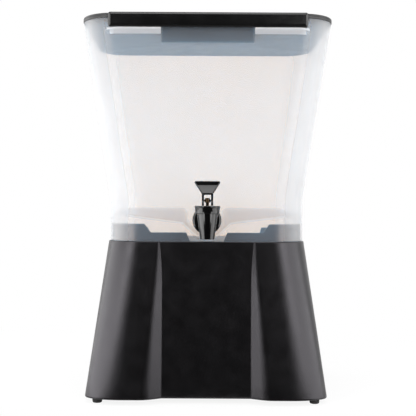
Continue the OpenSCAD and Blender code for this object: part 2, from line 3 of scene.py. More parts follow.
import bmesh
import bpy
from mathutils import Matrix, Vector


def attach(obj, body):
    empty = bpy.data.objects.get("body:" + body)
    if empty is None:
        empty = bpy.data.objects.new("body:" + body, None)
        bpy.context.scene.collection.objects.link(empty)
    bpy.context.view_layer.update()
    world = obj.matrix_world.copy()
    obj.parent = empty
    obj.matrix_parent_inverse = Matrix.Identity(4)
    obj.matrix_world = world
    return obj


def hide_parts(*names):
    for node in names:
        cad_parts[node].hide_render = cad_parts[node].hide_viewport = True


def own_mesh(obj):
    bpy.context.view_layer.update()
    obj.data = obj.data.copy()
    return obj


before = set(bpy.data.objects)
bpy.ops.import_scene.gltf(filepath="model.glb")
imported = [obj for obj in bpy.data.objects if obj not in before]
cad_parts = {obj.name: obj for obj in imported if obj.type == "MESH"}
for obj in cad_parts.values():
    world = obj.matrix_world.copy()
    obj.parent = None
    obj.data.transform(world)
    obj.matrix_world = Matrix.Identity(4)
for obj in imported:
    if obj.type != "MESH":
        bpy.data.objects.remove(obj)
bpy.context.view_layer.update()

# Sizes in millimetres. A triple is a width, a depth and a corner radius
MM = 0.001
# Heights of the base's lower edge, its deck, the tank's rim and the lid's top
Z_BASE, Z_DECK, Z_RIM, Z_LID = 8.0, 245.0, 580.0, 587.0
# Tank at its rim and at its waist, its skirt, the bend above it and the wall
TANK, WAIST = (382.0, 286.0, 50.0), (300.0, 254.0, 50.0)
SKIRT_H, BEND_H, WALL = 55.0, 20.0, 3.2
# Floor above the deck, how far it is let into the wall, and its drain channel
FLOOR, LET_IN = dict(rear=51.5, mid=46.0, front=43.0, drain=30.0), 0.3
CHANNEL_R, CHANNEL_FRONT, CHANNEL_REAR = 31.0, 6.5, 10.5
# Angles in degrees at which the channel's round bottom ends
ROUND_END = dict(rear=-5.0, mid=-18.0, front=-38.0)
# Base at its lower edge and at its deck, its front corners' radii, its feet and its walls
BASE, DECK = (369.0, 288.0, 38.0), (304.0, 258.0, 52.0)
LOBE = (58.0, 28.0)
FOOT_X, FOOT_Y, BOSS_R, BOSS_H = 165.0, 119.0, 11.5, 13.0
BASE_WALL, DECK_T = 4.0, 4.0
# Front recess with its flanks, and its creases, which turn outwards near the deck
RECESS_W, RECESS_D, RECESS_TOP = 134.0, 14.0, 0.8
FLANK_W, FLANK_TOP, FLANK_BEND = 34.0, 8.0, 0.5
CREASE_OUT, CREASE_RUN, CREASE_START, CREASE_EDGE = 4.0, 0.28, 2.57, 1.2
# Ribs and posts on the deck, and the run of their sloped ends
RIB_H, POST_H, REAR_POST_H, POST_X, RIB_T, RIB_GAP = 13.5, 26.5, 16.0, 95.0, 4.0, 0.6
RIB_CLEAR, POST_REACH, REAR_POST_X = 7.0, 42.0, POST_X + 7.0
RIB_RUN, POST_RUN, REAR_POST_RUN = 0.45 * RIB_H, 10.0, 4.0
# Lid, its plug and tray, and its finger pocket
LID = (383.6, 287.6, 50.8)
Z_PLUG, PLUG_GAP, PLATE_T, LID_RIM = 572.0, 0.6, 3.0, 14.0
POCKET_W, POCKET_H, POCKET_D = 141.0, 28.0, 26.0
# Grip bar, and the tank's ledges under it
BAR_W, BAR_H, BAR_T, Z_BAR_TOP = 298.0, 22.0, 8.0, 587.0
LEDGE_H, LEDGE_OUT, LEDGE_FADE = 8.9, 7.0, 14.0
# Tap: its axis, its hole in the tank, heights from the shank's middle, and radii
TAP_Y, Z_TAP, TAP_HOLE_R = -165.0, 277.5, 10.1
NOZZLE_H, SEAT_H, SHOULDER_H, NECK_H, SPRING_H, BONNET_H = -27.5, -11.5, 10.0, 16.0, 18.5, 21.5
BORE_R, CHAMBER_R, NECK_R, BARREL_R, SHANK_R, FLANGE_R = 6.5, 9.5, 13.2, 15.0, 9.8, 21.8
# Handle: its pin, cam heel, valve lift and tilt in degrees, then heights above the pin, half widths and lean
Z_PIN, PIN_HOLE_R, HEEL = 306.6, 1.62, 7.3
VALVE_LIFT, TILT = 4.0, 40.0
BRIDGE_Z, STALK_Z, PADDLE_H, PADDLE_HALF, YOKE_HALF = 8.5, 11.5, 29.0, 19.25, 8.3
LEAN, LEAN_BEND, LEAN_FROM = 9.0, 0.35, 11.0
# Shift of the tank's middle behind the part's origin
BODY_Y = 20.0


def lerp(a, b, t):
    return a + (b - a) * t


def smooth(t):
    return t * t * (3 - 2 * t)


def oval(cx, cy, rx, ry, start, stop, n):
    return [(cx + rx * math.cos(math.radians(lerp(start, stop, i / n))),
             cy + ry * math.sin(math.radians(lerp(start, stop, i / n)))) for i in range(n + 1)]


def arc(cx, cy, r, start, stop, n):
    return oval(cx, cy, r, r, start, stop, n)


def circle(r, n):
    return [(r * math.cos(a), r * math.sin(a)) for a in (2 * math.pi * i / n for i in range(n))]


def mirrored(points):
    return [(-x, y) for x, y in reversed(points)]


def quarter(start, step):
    """Angles of a quarter turn in radians, for rounded edges."""
    return [math.radians(k) for k in range(start, 91, step)]


def outline(w, d, r, n=20):
    """Rounded rectangle, anticlockwise from its front edge."""
    right = arc(w / 2 - r, r - d / 2, r, -90, 0, n) + arc(w / 2 - r, d / 2 - r, r, 0, 90, n)
    return right + mirrored(right)


def at(points, z):
    return [(x, y, z) for x, y in points]


def flare_share(z):
    """Share of the tank's flare at a height: none on the skirt, then a bend, then straight."""
    def run(h):
        if h <= 0:
            return 0.0
        return h * h / (2 * BEND_H) if h < BEND_H else h - BEND_H / 2
    return run(z - Z_DECK - SKIRT_H) / run(Z_RIM - Z_DECK - SKIRT_H)


def tank_size(z, inset=0.0):
    t = flare_share(z)
    w, d, r = (lerp(a, b, t) for a, b in zip(WAIST, TANK))
    return w - 2 * inset, d - 2 * inset, r - inset


def tank_ring(z, inset=0.0):
    return at(outline(*tank_size(z, inset)), z)


def rounded_fall(u, bend):
    """A share that falls straight from 1, and past the bend rounds off to 0."""
    steep = 2 / (1 + bend)
    return 1 - steep * u if u < bend else steep * (1 - u) ** 2 / (2 * (1 - bend))


def base_ring(z, inset=0.0):
    """Outline of the base at one height: a recess between two flanks, then lobes that turn the corners."""
    n = 20
    t = (z - Z_BASE) / (Z_DECK - Z_BASE)
    w, d, r = (lerp(a, b, t) for a, b in zip(BASE, DECK))
    w, d, r = w - 2 * inset, d - 2 * inset, r - inset
    rx, ry = lerp(LOBE[0], DECK[2], t) - inset, lerp(LOBE[1], DECK[2], t) - inset
    deep = lerp(RECESS_D, RECESS_TOP, t)
    spread = CREASE_OUT * max(t / CREASE_RUN - CREASE_START, 0) ** 2
    crease = RECESS_W / 2 + spread
    flank = lerp(FLANK_W, FLANK_TOP, t) - spread
    side = [(crease - CREASE_EDGE, -d / 2 + deep)]
    side += [(crease + flank * i / n, -d / 2 + deep * rounded_fall(i / n, FLANK_BEND)) for i in range(n + 1)]
    lobe = oval(w / 2 - rx, ry - d / 2, rx, ry, -90, 0, n)
    right = side + lobe + arc(w / 2 - r, d / 2 - r, r, 0, 90, n)
    return at(right + mirrored(right), z)


class Shape:
    """Points in millimetres and faces, gathered before they become one object."""

    def __init__(self):
        self.points, self.faces = [], []

    def add(self, points, faces):
        k = len(self.points)
        self.points += [tuple(p) for p in points]
        self.faces += [tuple(i + k for i in f) for f in faces]

    def skin(self, rings, ends="fan"):
        """Joins rings of equal counts. Fans, flat faces or strips close the ends, or the ends are joined."""
        n, m = len(rings[0]), len(rings)
        points = [p for ring in rings for p in ring]
        faces = []
        for i in range(m if ends == "joined" else m - 1):
            for j in range(n):
                a, b = i * n + j, i * n + (j + 1) % n
                k = (i + 1) % m
                faces.append((a, b, k * n + (j + 1) % n, k * n + j))
        end_rings = [] if ends == "joined" else [0, (m - 1) * n]
        for first in end_rings:
            last = first + n - 1
            if ends == "fan":
                points.append(tuple((min(c) + max(c)) / 2 for c in zip(*points[first:last + 1])))
                faces += [(len(points) - 1, first + j, first + (j + 1) % n) for j in range(n)]
            elif ends == "flat":
                faces.append(tuple(range(first, last + 1)))
            else:
                faces += [(first + j, first + j + 1, last - 1 - j, last - j) for j in range(n // 2 - 1)]
        self.add(points, faces)

    def lathe(self, profile, centre, n, axis="z", joined=True):
        """Turns radii and heights about an axis through the centre."""
        cx, cy, cz = centre
        rings = []
        for r, h in profile:
            turn = circle(r, n)
            if axis == "z":
                rings.append([(cx + u, cy + v, cz + h) for u, v in turn])
            else:
                rings.append([(cx + u, cy + h, cz + v) for u, v in turn])
        self.skin(rings, "joined" if joined else "fan")

    def mesh(self, name):
        mesh = bpy.data.meshes.new(name)
        mesh.from_pydata([(x * MM, (y + BODY_Y) * MM, z * MM) for x, y, z in self.points], [], self.faces)
        bm = bmesh.new()
        bm.from_mesh(mesh)
        bmesh.ops.recalc_face_normals(bm, faces=bm.faces)
        bm.to_mesh(mesh)
        bm.free()
        return mesh

    def object(self, name):
        obj = bpy.data.objects.new(name, self.mesh(name))
        bpy.context.scene.collection.objects.link(obj)
        return obj


def round_off(obj, angle):
    obj.data.shade_smooth()
    obj.data.set_sharp_from_angle(angle=math.radians(angle))


def cut(obj, tool, operation="DIFFERENCE"):
    """Applies a boolean of one object to another and drops the tool."""
    mod = obj.modifiers.new("cut", "BOOLEAN")
    mod.object, mod.operation, mod.solver = tool, operation, "EXACT"
    bpy.context.view_layer.update()
    done = bpy.data.meshes.new_from_object(obj.evaluated_get(bpy.context.evaluated_depsgraph_get()))
    obj.modifiers.clear()
    done.name = obj.data.name
    obj.data = done
    bpy.data.objects.remove(tool)


def paint(obj, material):
    obj.data.materials.clear()
    obj.data.materials.append(material)


def finish_piece(obj, material, body, node):
    """Gives a piece its material and the body it rides on, and hides the imported part of the node it stands
    for.
    """
    paint(obj, material)
    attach(obj, body)
    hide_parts(node)


# Materials, with the range that most of a noise lies in
NOISE_RANGE = 0.3, 0.7


class Nodes:
    """The emptied node tree of a material or a world, with short calls for the nodes used here."""

    def __init__(self, owner, output="ShaderNodeOutputMaterial", coord="Object"):
        owner.use_nodes = True
        self.owner, self.tree = owner, owner.node_tree
        self.tree.nodes.clear()
        self.out = self.node(output)
        self.coord = self.node("ShaderNodeTexCoord").outputs[coord]

    def node(self, kind, **values):
        n = self.tree.nodes.new(kind)
        for key, value in values.items():
            if key in n.inputs:
                n.inputs[key].default_value = value
            else:
                setattr(n, key, value)
        return n

    def link(self, a, b):
        self.tree.links.new(a, b)

    def noise(self, scale, detail, rough=0.55):
        n = self.node("ShaderNodeTexNoise", Scale=scale, Detail=detail, Roughness=rough)
        self.link(self.coord, n.inputs["Vector"])
        return n.outputs["Fac"]

    def spread(self, value, low, high, start=NOISE_RANGE[0], stop=NOISE_RANGE[1], ease="LINEAR"):
        """Turns values from start to stop into values from low to high."""
        n = self.node("ShaderNodeMapRange", interpolation_type=ease)
        n.inputs["From Min"].default_value, n.inputs["From Max"].default_value = start, stop
        n.inputs["To Min"].default_value, n.inputs["To Max"].default_value = low, high
        self.link(value, n.inputs["Value"])
        return n.outputs["Result"]

    def blend(self, noise, a, b):
        """A colour that a noise moves from one to the other."""
        n = self.node("ShaderNodeValToRGB")
        first, last = n.color_ramp.elements
        first.position, last.position = NOISE_RANGE
        first.color, last.color = (*a, 1), (*b, 1)
        self.link(noise, n.inputs["Fac"])
        return n.outputs["Color"]

    def mottled(self, scale, color, swing):
        """A colour that swings a little to both sides over the surface."""
        low, high = ([share * c for c in color] for share in (1 - swing, 1 + swing))
        return self.blend(self.noise(scale, 3), low, high)

    def maths(self, operation, a, b):
        """One operation on a value and a second one, which may be a plain number."""
        n = self.node("ShaderNodeMath", operation=operation)
        self.link(a, n.inputs[0])
        if isinstance(b, float):
            n.inputs[1].default_value = b
        else:
            self.link(b, n.inputs[1])
        return n.outputs[0]

    def bump(self, height, strength, distance):
        n = self.node("ShaderNodeBump", Strength=strength, Distance=distance)
        self.link(height, n.inputs["Height"])
        return n.outputs["Normal"]

    def principled(self, color, rough, normal, **values):
        n = self.node("ShaderNodeBsdfPrincipled", **values)
        self.link(color, n.inputs["Base Color"])
        self.link(rough, n.inputs["Roughness"])
        self.link(normal, n.inputs["Normal"])
        return n.outputs["BSDF"]

    def add(self, a, b):
        n = self.node("ShaderNodeAddShader")
        self.link(a, n.inputs[0])
        self.link(b, n.inputs[1])
        return n.outputs["Shader"]

    def mix(self, share, a, b):
        n = self.node("ShaderNodeMixShader")
        self.link(share, n.inputs["Fac"])
        self.link(a, n.inputs[1])
        self.link(b, n.inputs[2])
        return n.outputs["Shader"]

    def done(self, shader):
        self.link(shader, self.out.inputs["Surface"])
        return self.owner


def new_material(name):
    return Nodes(bpy.data.materials.new(name))


def plastic(name, dark, light, rough, grain, grain_scale, grain_depth):
    m = new_material(name)
    color = m.blend(m.noise(28, 4), dark, light)
    gloss = m.spread(m.noise(60, 4), rough[0], rough[1])
    normal = m.bump(m.noise(grain_scale, 2.0), grain, grain_depth)
    return m.done(m.principled(color, gloss, normal))


def grained_black():
    m = new_material("black_grained")
    color = m.blend(m.noise(35, 5), (0.0012, 0.0011, 0.0012), (0.0020, 0.0019, 0.0021))
    gloss = m.spread(m.noise(45, 4), 0.29, 0.36)
    fine = m.bump(m.noise(900, 2.5, 0.6), 0.35, 0.0004)
    shine = {"Specular IOR Level": 0.55, "Specular Tint": (0.97, 0.93, 1.0, 1.0)}
    return m.done(m.principled(color, gloss, fine, **shine))


def cloudy(m, clear, glow, veil):
    """Shares of light that pass straight through a wall's surface, scatter on and scatter back."""
    passed = m.node("ShaderNodeBsdfTransparent", Color=(*clear, 1))
    onward = m.node("ShaderNodeBsdfTranslucent")
    m.link(m.mottled(9, glow, 0.04), onward.inputs["Color"])
    back = m.node("ShaderNodeBsdfDiffuse")
    m.link(m.mottled(12, veil, 0.05), back.inputs["Color"])
    haze = m.add(onward.outputs["BSDF"], back.outputs["BSDF"])
    return m.add(passed.outputs["BSDF"], haze)


# Tank plastic: how the view's slant turns it milky and glossy
SLANT_SHARE, SLANT_RANGE = 0.85, (0.03, 0.45)
SKIN_GLOSS = 0.02, 0.16


def frosted(name, straight, slant):
    """Cloudy plastic, milkier where it is seen at a slant, under a thin gloss."""
    m = new_material(name)
    facing = m.node("ShaderNodeLayerWeight", Blend=0.5).outputs["Facing"]
    slanted = m.spread(facing, 0.0, SLANT_SHARE, *SLANT_RANGE)
    wall = m.mix(slanted, cloudy(m, *straight), cloudy(m, *slant))
    shine = m.node("ShaderNodeBsdfGlossy", Color=(1, 1, 1, 1))
    m.link(m.spread(m.noise(30, 3), 0.30, 0.36), shine.inputs["Roughness"])
    m.link(m.bump(m.noise(14, 2), 0.04, 0.0006), shine.inputs["Normal"])
    glossy = m.spread(m.maths("POWER", facing, 5.0), *SKIN_GLOSS, 0.0, 1.0)
    return m.done(m.mix(glossy, wall, shine.outputs["BSDF"]))


def metal(name, dark, light, rough, scale):
    m = new_material(name)
    color = m.blend(m.noise(scale, 4), dark, light)
    gloss = m.spread(m.noise(scale * 3, 4), rough[0], rough[1])
    normal = m.bump(m.noise(scale * 8, 2), 0.08, 0.0002)
    return m.done(m.principled(color, gloss, normal, Metallic=1.0))


GRAINED = grained_black()
# Shares of red, green and blue that a wall passes, scatters on and scatters back
THIN_WALL = (0.870, 0.790, 0.717), (0.063, 0.145, 0.218), (0.045, 0.047, 0.053)
SLANT_WALL = (0.50, 0.485, 0.47), (0.170, 0.185, 0.203), (0.190, 0.194, 0.200)
THICK_WALL = (0.45, 0.43, 0.41), (0.15, 0.16, 0.18), (0.39, 0.39, 0.40)
FLOOR_WALL = (0.76, 0.71, 0.665), (0.090, 0.150, 0.205), (0.086, 0.093, 0.101)
FROSTED = frosted("tank_plastic", THIN_WALL, SLANT_WALL)
FLOORED = frosted("tank_plastic_floor", THIN_WALL, FLOOR_WALL)
THICK = frosted("tank_plastic_thick", THICK_WALL, THICK_WALL)
SATIN = plastic("black_satin", (0.009, 0.009, 0.0095), (0.013, 0.013, 0.014),
                rough=(0.34, 0.42), grain=0.12, grain_scale=900, grain_depth=0.0003)
BAR = plastic("black_bar", (0.002, 0.002, 0.0022), (0.004, 0.004, 0.0042),
              rough=(0.20, 0.26), grain=0.06, grain_scale=700, grain_depth=0.0003)
GLOSS = plastic("black_gloss", (0.002, 0.002, 0.0022), (0.004, 0.004, 0.0042),
                rough=(0.10, 0.16), grain=0.04, grain_scale=300, grain_depth=0.0003)
FOOT = plastic("foot_rubber", (0.012, 0.012, 0.012), (0.022, 0.022, 0.022),
               rough=(0.70, 0.82), grain=0.25, grain_scale=600, grain_depth=0.0004)
GASKET = plastic("gasket_rubber", (0.014, 0.014, 0.014), (0.024, 0.024, 0.024),
                 rough=(0.6, 0.72), grain=0.2, grain_scale=600, grain_depth=0.0003)
SILICONE = plastic("cup_silicone", (0.66, 0.66, 0.64), (0.76, 0.76, 0.74),
                   rough=(0.42, 0.52), grain=0.08, grain_scale=300, grain_depth=0.0003)
STEEL = metal("screw_steel", (0.52, 0.52, 0.54), (0.66, 0.66, 0.68), (0.22, 0.34), 60)
DARK = metal("pin_metal", (0.020, 0.017, 0.014), (0.040, 0.034, 0.030), (0.30, 0.42), 80)
BROWN = metal("stem_metal", (0.060, 0.038, 0.022), (0.105, 0.070, 0.042), (0.28, 0.40), 80)


# Base
def band_walls(shape):
    """Ribs and posts on the deck, as walls that follow the skirt's inside."""
    inset = WALL + RIB_GAP
    drop = CHANNEL_R + CHANNEL_FRONT - RIB_H
    notch = math.sqrt((CHANNEL_R + WALL) ** 2 - drop ** 2) + RIB_CLEAR
    low = -1.0

    def path(i):
        w, d, r = tank_size(Z_DECK, i)
        xs = [notch - RIB_RUN, notch, POST_X - POST_RUN, POST_X]
        front = [(x, -d / 2) for x in xs] + arc(w / 2 - r, r - d / 2, r, -90, 0, 16)
        front.append((w / 2, POST_REACH - WAIST[1] / 2))
        rear = [(w / 2, WAIST[1] / 2 - POST_REACH)] + arc(w / 2 - r, d / 2 - r, r, 0, 90, 16)
        rear[-1] = (REAR_POST_X, rear[-1][1])
        rear.append((REAR_POST_X - REAR_POST_RUN, d / 2))
        return front, rear

    outer, inner = path(inset), path(inset + RIB_T)
    front_tops = [0.0, RIB_H, RIB_H] + [POST_H] * (len(outer[0]) - 3)
    rear_tops = [REAR_POST_H] * (len(outer[1]) - 1) + [0.0]
    for part, tops in enumerate((front_tops, rear_tops)):
        for side in (1, -1):
            rings = []
            for (ox, oy), (ix, iy), top in zip(outer[part], inner[part], tops):
                rings.append([(side * ox, oy, Z_DECK + low), (side * ix, iy, Z_DECK + low),
                              (side * ix, iy, Z_DECK + top), (side * ox, oy, Z_DECK + top)])
            shape.skin(rings, "flat")


def make_base():
    """Hollow shell with its deck, the ribs and posts on it, and a boss over each foot."""
    edge, edge_in, lip, screw_r = 3.5, 1.8, 1.6, 2.0
    walls = Shape()
    bottom = [base_ring(Z_BASE + edge * (1 - math.cos(a)), edge_in * (1 - math.sin(a)))
              for a in quarter(0, 15)]
    middle = [base_ring(lerp(Z_BASE + edge, Z_DECK - lip, i / 12)) for i in range(1, 13)]
    top = [base_ring(Z_DECK - lip * (1 - math.sin(a)), lip * (1 - math.cos(a))) for a in quarter(15, 15)]
    inner = [base_ring(Z_DECK - DECK_T, BASE_WALL), base_ring(Z_DECK - DECK_T - 2, BASE_WALL),
             base_ring(Z_BASE + 1, BASE_WALL), base_ring(Z_BASE, BASE_WALL - 0.4)]
    walls.skin(inner + bottom + middle + top)
    band_walls(walls)
    boss = [(screw_r, 0), (BOSS_R - 0.4, 0), (BOSS_R, 0.4), (BOSS_R, BOSS_H - 0.6), (BOSS_R - 0.6, BOSS_H),
            (screw_r, BOSS_H)]
    for sx in (-1, 1):
        for sy in (-1, 1):
            walls.lathe(boss, (sx * FOOT_X, sy * FOOT_Y, Z_BASE), n=48)
    obj = walls.object("base_shell_skin")
    round_off(obj, 40)
    finish_piece(obj, GRAINED, "base", "base_shell")


# Tank
def spline(curve, n):
    """Points along a smooth curve through four points, without the first of them."""
    points = []
    for k in range(1, n + 1):
        u = k / n * 3
        i = min(int(u), 2)
        near = curve[max(i - 1, 0)], curve[i], curve[i + 1], curve[min(i + 2, 3)]
        s = u - i
        point = []
        for a, b, c, d in zip(*near):
            bend = (2 * a - 5 * b + 4 * c - d) * s * s
            point.append(0.5 * (2 * b + (c - a) * s + bend + (3 * b - a - 3 * c + d) * s ** 3))
        points.append(tuple(point))
    return points


def floor_row(y):
    """Top and underside of the floor along one row, as places and heights from the middle outwards."""
    half = (WAIST[1] - WALL) / 2
    t = abs(y) / half
    if y >= 0:
        side = rim = lerp(FLOOR["mid"], FLOOR["rear"], t)
        round_end = lerp(ROUND_END["mid"], ROUND_END["rear"], t)
    else:
        side, rim = lerp(FLOOR["mid"], FLOOR["front"], t), lerp(FLOOR["mid"], FLOOR["drain"], t)
        round_end = lerp(ROUND_END["mid"], ROUND_END["front"], t)
    mid = CHANNEL_R + lerp(CHANNEL_FRONT, CHANNEL_REAR, (y + half) / (2 * half))
    w, d, r = tank_size(Z_DECK, WALL - LET_IN)
    over = abs(y) - (d / 2 - r)
    x_max = w / 2 if over <= 0 else w / 2 - r + math.sqrt(max(r * r - over * over, 0))
    wide = (WAIST[0] - WALL) / 2

    def build(depth):
        """The row's points at a depth under the floor's top: the channel's arc, its rim and the slope."""
        points = arc(0, mid, CHANNEL_R + depth, -90, round_end, 24)
        knee = [(CHANNEL_R - 0.3 + depth * 0.9, rim - 6.5 - depth * 0.4),
                (CHANNEL_R + 4 + depth * 0.6, rim - 2 - depth * 0.8),
                (CHANNEL_R + 11 + depth * 0.5, rim - depth)]
        points += spline([points[-1]] + knee, 12)
        x0 = points[-1][0]
        for k in range(1, 9):
            x = lerp(x0, x_max, k / 8)
            points.append((x, lerp(rim - depth, side - depth, (x - x0) / (wide - x0))))
        return points

    return build(0.0), build(WALL)


def tank_walls():
    """Outer and inner skin of the wall, joined over the rim and under the skirt."""
    wall = Shape()
    lip = 0.8
    heights = [Z_DECK + lip, Z_DECK + 20, Z_DECK + 40]
    heights += [Z_DECK + SKIRT_H + BEND_H * i / 10 for i in range(11)]
    heights += [lerp(Z_DECK + SKIRT_H + BEND_H, Z_RIM - 1, i / 12) for i in range(1, 13)]
    outside = [tank_ring(Z_DECK, lip)] + [tank_ring(z) for z in heights]
    rim = [tank_ring(Z_RIM - 0.3, 0.3), tank_ring(Z_RIM, 1.0), tank_ring(Z_RIM, WALL - 1.0),
           tank_ring(Z_RIM - 0.3, WALL - 0.3)]
    inside = [tank_ring(z, WALL) for z in reversed(heights)] + [tank_ring(Z_DECK, WALL - lip)]
    wall.skin(outside + rim + inside, "joined")
    return wall


def tank_floor():
    """Sloped floor with its drain channel, let a little into the wall all round."""
    floor = Shape()
    _, d, bend = tank_size(Z_DECK, WALL - LET_IN)
    half = d / 2
    turn = [(1 - math.cos(math.pi / 2 * i / 12)) * bend for i in range(12)]
    rows = [-half + step for step in turn]
    rows += [lerp(bend - half, -2, i / 8) for i in range(9)]
    rows += [lerp(0, half - bend, i / 8) for i in range(9)]
    rows += [half - step for step in reversed(turn)]
    rings = []
    for y in rows:
        top, under = ([(x, y, Z_DECK + z) for x, z in row] for row in floor_row(y))
        left, low_left = ([(-x, y, z) for x, y, z in row[1:]] for row in (top, under))
        rings.append(left[::-1] + top + under[::-1] + low_left)
    floor.skin(rings, "strip")
    return floor


def tank_ledge(side):
    """Ledge under one half of the grip bar, which fades into the wall at its outer end."""
    ledge = Shape()
    bar_gap, edge_h, past_bar, proud = 0.5, 2.4, 2.5, 0.3
    z_top = Z_BAR_TOP - BAR_H - bar_gap
    z_low, z_edge = z_top - LEDGE_H, z_top - edge_h
    wall_top, wall_low = tank_size(z_top)[1] / 2, tank_size(z_low)[1] / 2
    stations = [(POCKET_W / 2, LEDGE_OUT)]
    stations += [(BAR_W / 2 + past_bar - LEDGE_FADE * (1 - k / 6), LEDGE_OUT * (1 - smooth(k / 6)) + proud)
                 for k in range(7)]
    rings = []
    for x, out in stations:
        share = out / LEDGE_OUT
        face = -wall_top - out
        section = [(-wall_top + LET_IN, z_top), (face + 0.6 * share, z_top), (face, z_top - 0.6),
                   (face, z_edge), (lerp(-wall_low, face, 0.9 * share), lerp(z_low, z_edge, 0.86)),
                   (-wall_low + LET_IN, z_low)]
        rings.append([(side * x, y, z) for y, z in section])
    ledge.skin(rings, "flat")
    return ledge


def make_tank():
    """Wall with its tap hole, floor and ledges, where ledges and floor have plastics of their own."""
    obj = tank_walls().object("tank_wall")
    hole = Shape()
    hole.lathe([(TAP_HOLE_R, -3), (TAP_HOLE_R, 8)], (0, -WAIST[1] / 2, Z_TAP), axis="y", n=64, joined=False)
    cut(obj, hole.object("tap_hole"))
    cut(obj, tank_floor().object("floor_slab"), "UNION")
    for side in (1, -1):
        cut(obj, tank_ledge(side).object("ledge"), "UNION")
    round_off(obj, 40)
    finish_piece(obj, FROSTED, "tank", "tank")
    obj.data.materials.append(THICK)
    obj.data.materials.append(FLOORED)
    proud, floor_top, level = 0.2, Z_DECK + 70, 0.35
    for face in obj.data.polygons:
        y, z = face.center.y / MM - BODY_Y, face.center.z / MM
        if y < -tank_size(z)[1] / 2 - proud:
            face.material_index = 1
        elif z < floor_top and abs(face.normal.z) > level:
            face.material_index = 2


# Lid
def lid_ring(z, inset):
    return at(outline(LID[0] - 2 * inset, LID[1] - 2 * inset, LID[2] - inset, 24), z)


def plug_ring(z, inset):
    w, d, r = tank_size(Z_PLUG, WALL + PLUG_GAP + inset)
    return at(outline(w, d, r, 24), z)


def rounded_box(half, y0, y1, z0, z1):
    """The finger pocket's box, with rounded upright edges and a rounded bottom edge."""
    shape = Shape()
    upright_r, low_r = 3.0, 2.0
    mid = (y0 + y1) / 2
    steps = [(z0 + low_r * (1 - math.cos(a)), low_r * (1 - math.sin(a))) for a in quarter(0, 15)]
    rings = []
    for z, inset in steps + [(z1, 0.0)]:
        ring = outline(2 * half - 2 * inset, y1 - y0 - 2 * inset, upright_r - inset, 8)
        rings.append([(x, y + mid, z) for x, y in ring])
    shape.skin(rings)
    return shape


def make_lid():
    """Plug lid with a tray on top, a finger pocket that hangs down and the holes of the bar's screws."""
    lid = Shape()
    z_tray = Z_PLUG + PLATE_T
    plug = [(Z_PLUG, 1.2), (Z_PLUG + 0.4, 0.4), (Z_PLUG + 1.2, 0.0), (Z_RIM, 0.0)]
    side = [(Z_RIM, 0.7), (Z_RIM + 0.2, 0.2), (Z_RIM + 0.7, 0.0), (Z_RIM + 3.0, 0.0),
            (Z_RIM + 3.3, 0.35), (Z_RIM + 3.7, 0.35), (Z_RIM + 4.0, 0.0)]
    edge, tray_edge = 2.2, 1.2
    side += [(Z_LID - edge * (1 - math.sin(a)), edge * (1 - math.cos(a))) for a in quarter(0, 15)]
    side += [(Z_LID - tray_edge * (1 - math.cos(a)), LID_RIM - tray_edge * (1 - math.sin(a)))
             for a in quarter(0, 18)]
    side += [(z_tray + 1.5, LID_RIM + 1.6), (z_tray + 0.4, LID_RIM + 2.2), (z_tray, LID_RIM + 3.4)]
    lid.skin([plug_ring(*place) for place in plug] + [lid_ring(*place) for place in side])
    obj = lid.object("lid_shell")
    clear, pocket_wall, floor_t = 1.0, 4.0, 2.5
    z_low = Z_PLUG - POCKET_H
    front = WALL + clear - tank_size(z_low)[1] / 2
    rear = front + POCKET_D
    body = rounded_box(POCKET_W / 2, front, rear, z_low, Z_PLUG + 1)
    cut(obj, body.object("pocket_body"), "UNION")
    tray_front = LID_RIM + 2 - LID[1] / 2
    half = POCKET_W / 2 - pocket_wall
    room = rounded_box(half, tray_front, rear - floor_t, z_low + floor_t, z_tray + 2)
    cut(obj, room.object("pocket_room"))
    screw_hole = [(2.46, 9.52), (2.46, 18)]
    for x in (-BAR_W / 3, 0, BAR_W / 3):
        hole = Shape()
        hole.lathe(screw_hole, (x, -LID[1] / 2, (Z_RIM + Z_LID) / 2), axis="y", n=32, joined=False)
        cut(obj, hole.object("screw_hole"))
    round_off(obj, 35)
    finish_piece(obj, SATIN, "lid", "lid")


def make_bar():
    """Bevelled grip bar with softly rounded corners."""
    bar = Shape()
    back, front = -LID[1] / 2, -LID[1] / 2 - BAR_T
    mid = Z_BAR_TOP - BAR_H / 2
    bevel, corner = 3.2, 3.4
    steps = [(back, 0.6), (back - 0.4, 0.1), (back - 0.9, 0.0),
             (front + bevel + 0.5, 0.0), (front + bevel - 0.1, 0.15), (front + bevel - 0.6, 0.6),
             (front + 0.7, bevel - 0.7), (front + 0.2, bevel - 0.1), (front, bevel + 0.6)]
    rings = []
    for y, inset in steps:
        ring = outline(BAR_W - 2 * inset, BAR_H - 2 * inset, corner - 0.6 * inset, 10)
        rings.append([(x, y, mid + z) for x, z in ring])
    bar.skin(rings, "flat")
    obj = bar.object("grip_bar")
    round_off(obj, 28)
    finish_piece(obj, BAR, "lid", "lid_grip_bar")


